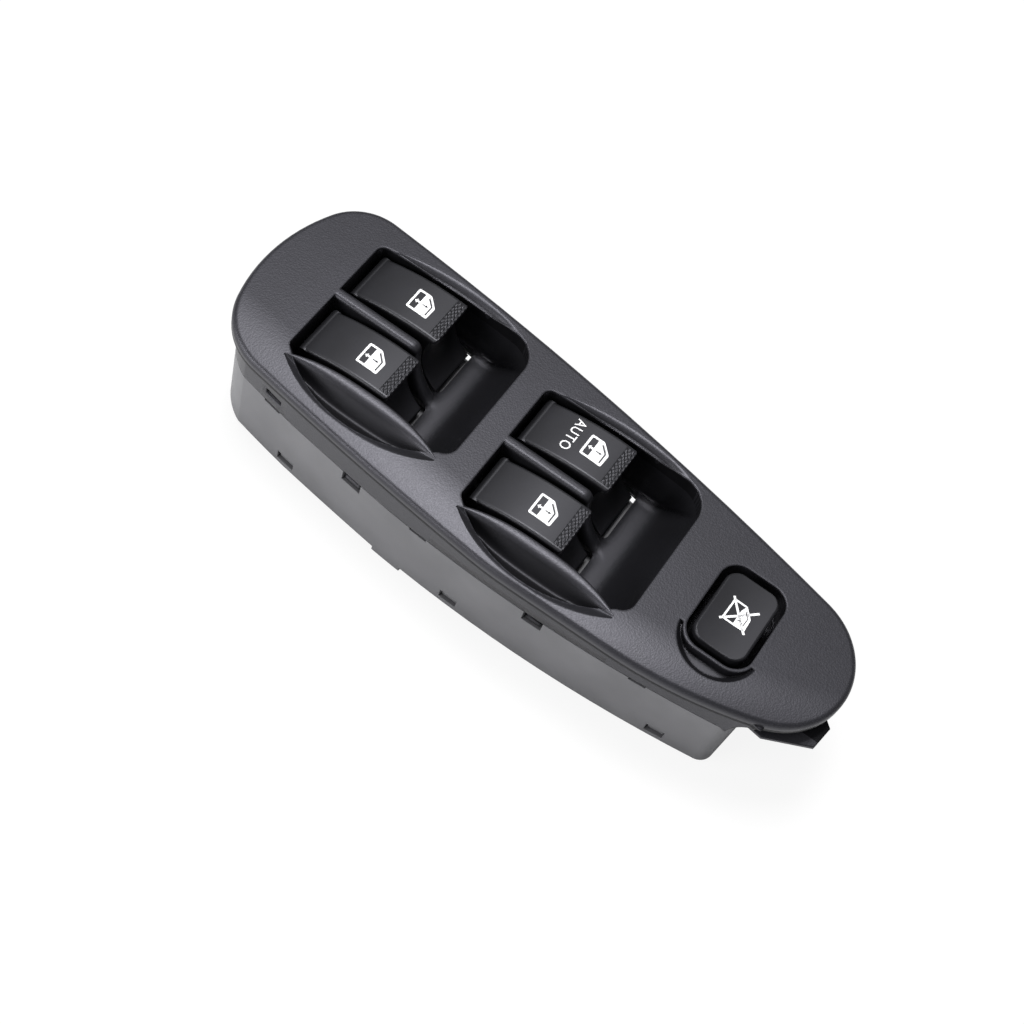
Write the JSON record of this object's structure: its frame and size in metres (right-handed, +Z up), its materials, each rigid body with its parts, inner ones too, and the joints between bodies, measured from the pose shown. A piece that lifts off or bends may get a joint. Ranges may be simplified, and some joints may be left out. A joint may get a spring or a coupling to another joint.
{
  "type": "power window switch",
  "caption": "Driver's door window switch panel: tapered satin bezel with two finger wells, sprung rockers, a lock-out button and a box housing with a bottom socket",
  "frame": {"origin": "middle of the bezel on the plane where its rim rests on the door trim", "axes": "+X along the rockers toward the narrow end, +Y along the rocker hinges, +Z up out of the bezel"},
  "size_m": [0.2206, 0.0826, 0.0467],
  "materials": {
    "bezel": "finely grained satin charcoal moulding",
    "switch_housing": "plain satin moulding",
    "bottom_cover": "plain satin moulding",
    "circuit_board": "green solder mask",
    "switch_terminals": "stamped contact metal",
    "connector_shroud": "natural nylon",
    "connector_pins": "tinned brass",
    "board_screws": "zinc plated",
    "lock_switch": "black switch case",
    "lock_spring": "spring wire",
    "lock_button": "satin black",
    "rocker_rear_right": "satin black knob",
    "plunger_rear_right": "natural acetal",
    "plunger_spring_rear_right": "spring wire",
    "tilt_contact_rear_right": "copper alloy strip",
    "rocker_rear_left": "satin black knob",
    "plunger_rear_left": "natural acetal",
    "plunger_spring_rear_left": "spring wire",
    "tilt_contact_rear_left": "copper alloy strip",
    "rocker_front_right": "satin black knob",
    "plunger_front_right": "natural acetal",
    "plunger_spring_front_right": "spring wire",
    "tilt_contact_front_right": "copper alloy strip",
    "rocker_front_left": "satin black knob",
    "plunger_front_left": "natural acetal",
    "plunger_spring_front_left": "spring wire",
    "tilt_contact_front_left": "copper alloy strip"
  },
  "bodies": {
    "panel": {"bezel": "bezel", "switch_housing": "switch_housing", "bottom_cover": "bottom_cover", "circuit_board": "circuit_board", "switch_terminals": "switch_terminals", "connector_shroud": "connector_shroud", "connector_pins": "connector_pins", "board_screws": "board_screws", "lock_switch": "lock_switch", "lock_spring": "lock_spring"},
    "rocker_rear_right": {"rocker_rear_right": "rocker_rear_right", "plunger_spring_rear_right": "plunger_spring_rear_right"},
    "plunger_rear_right": {"plunger_rear_right": "plunger_rear_right"},
    "tilt_contact_rear_right": {"tilt_contact_rear_right": "tilt_contact_rear_right"},
    "rocker_rear_left": {"rocker_rear_left": "rocker_rear_left", "plunger_spring_rear_left": "plunger_spring_rear_left"},
    "plunger_rear_left": {"plunger_rear_left": "plunger_rear_left"},
    "tilt_contact_rear_left": {"tilt_contact_rear_left": "tilt_contact_rear_left"},
    "rocker_front_right": {"rocker_front_right": "rocker_front_right", "plunger_spring_front_right": "plunger_spring_front_right"},
    "plunger_front_right": {"plunger_front_right": "plunger_front_right"},
    "tilt_contact_front_right": {"tilt_contact_front_right": "tilt_contact_front_right"},
    "rocker_front_left": {"rocker_front_left": "rocker_front_left", "plunger_spring_front_left": "plunger_spring_front_left"},
    "plunger_front_left": {"plunger_front_left": "plunger_front_left"},
    "tilt_contact_front_left": {"tilt_contact_front_left": "tilt_contact_front_left"},
    "lock_button": {"lock_button": "lock_button"}
  },
  "joints": [
    {"name": "rocker_rear_right_hinge", "type": "hinge", "parent": "panel", "child": "rocker_rear_right", "pos_m": [-0.068, 0.0007, -0.0062], "axis": [0, 1, 0], "range_deg": [-8, 8], "stiffness_Nm_per_rad": 0.12},
    {"name": "plunger_rear_right_slide", "type": "slide", "parent": "rocker_rear_right", "child": "plunger_rear_right", "axis": [0, 0, 1], "range_m": [0, 0.0008], "stiffness_N_per_m": 400, "springref_m": -0.003, "deforming": ["plunger_spring_rear_right"]},
    {"name": "tilt_contact_rear_right_tilt", "type": "hinge", "parent": "panel", "child": "tilt_contact_rear_right", "pos_m": [-0.068, 0.0007, -0.0284], "axis": [0, 1, 0], "range_deg": [-5, 5]},
    {"name": "rocker_rear_left_hinge", "type": "hinge", "parent": "panel", "child": "rocker_rear_left", "pos_m": [-0.068, 0.0271, -0.0062], "axis": [0, 1, 0], "range_deg": [-8, 8], "stiffness_Nm_per_rad": 0.12},
    {"name": "plunger_rear_left_slide", "type": "slide", "parent": "rocker_rear_left", "child": "plunger_rear_left", "axis": [0, 0, 1], "range_m": [0, 0.0008], "stiffness_N_per_m": 400, "springref_m": -0.003, "deforming": ["plunger_spring_rear_left"]},
    {"name": "tilt_contact_rear_left_tilt", "type": "hinge", "parent": "panel", "child": "tilt_contact_rear_left", "pos_m": [-0.068, 0.0271, -0.0284], "axis": [0, 1, 0], "range_deg": [-5, 5]},
    {"name": "rocker_front_right_hinge", "type": "hinge", "parent": "panel", "child": "rocker_front_right", "pos_m": [0.00136, -0.00876, -0.0062], "axis": [0, 1, 0], "range_deg": [-8, 8], "stiffness_Nm_per_rad": 0.12},
    {"name": "plunger_front_right_slide", "type": "slide", "parent": "rocker_front_right", "child": "plunger_front_right", "axis": [0, 0, 1], "range_m": [0, 0.0008], "stiffness_N_per_m": 400, "springref_m": -0.003, "deforming": ["plunger_spring_front_right"]},
    {"name": "tilt_contact_front_right_tilt", "type": "hinge", "parent": "panel", "child": "tilt_contact_front_right", "pos_m": [0.00136, -0.00876, -0.0284], "axis": [0, 1, 0], "range_deg": [-5, 5]},
    {"name": "rocker_front_left_hinge", "type": "hinge", "parent": "panel", "child": "rocker_front_left", "pos_m": [0.00136, 0.01764, -0.0062], "axis": [0, 1, 0], "range_deg": [-8, 8], "stiffness_Nm_per_rad": 0.12},
    {"name": "plunger_front_left_slide", "type": "slide", "parent": "rocker_front_left", "child": "plunger_front_left", "axis": [0, 0, 1], "range_m": [0, 0.0008], "stiffness_N_per_m": 400, "springref_m": -0.003, "deforming": ["plunger_spring_front_left"]},
    {"name": "tilt_contact_front_left_tilt", "type": "hinge", "parent": "panel", "child": "tilt_contact_front_left", "pos_m": [0.00136, 0.01764, -0.0284], "axis": [0, 1, 0], "range_deg": [-5, 5]},
    {"name": "lock_button_press", "type": "slide", "parent": "panel", "child": "lock_button", "axis": [0, 0, -1], "range_m": [0, 0.0025], "stiffness_N_per_m": 500, "springref_m": -0.003, "deforming": ["lock_spring"]}
  ],
  "couplings": [
    {"joint": "tilt_contact_rear_right_tilt", "follows": "rocker_rear_right_hinge", "ratio": -0.6},
    {"joint": "tilt_contact_rear_left_tilt", "follows": "rocker_rear_left_hinge", "ratio": -0.6},
    {"joint": "tilt_contact_front_right_tilt", "follows": "rocker_front_right_hinge", "ratio": -0.6},
    {"joint": "tilt_contact_front_left_tilt", "follows": "rocker_front_left_hinge", "ratio": -0.6}
  ]
}
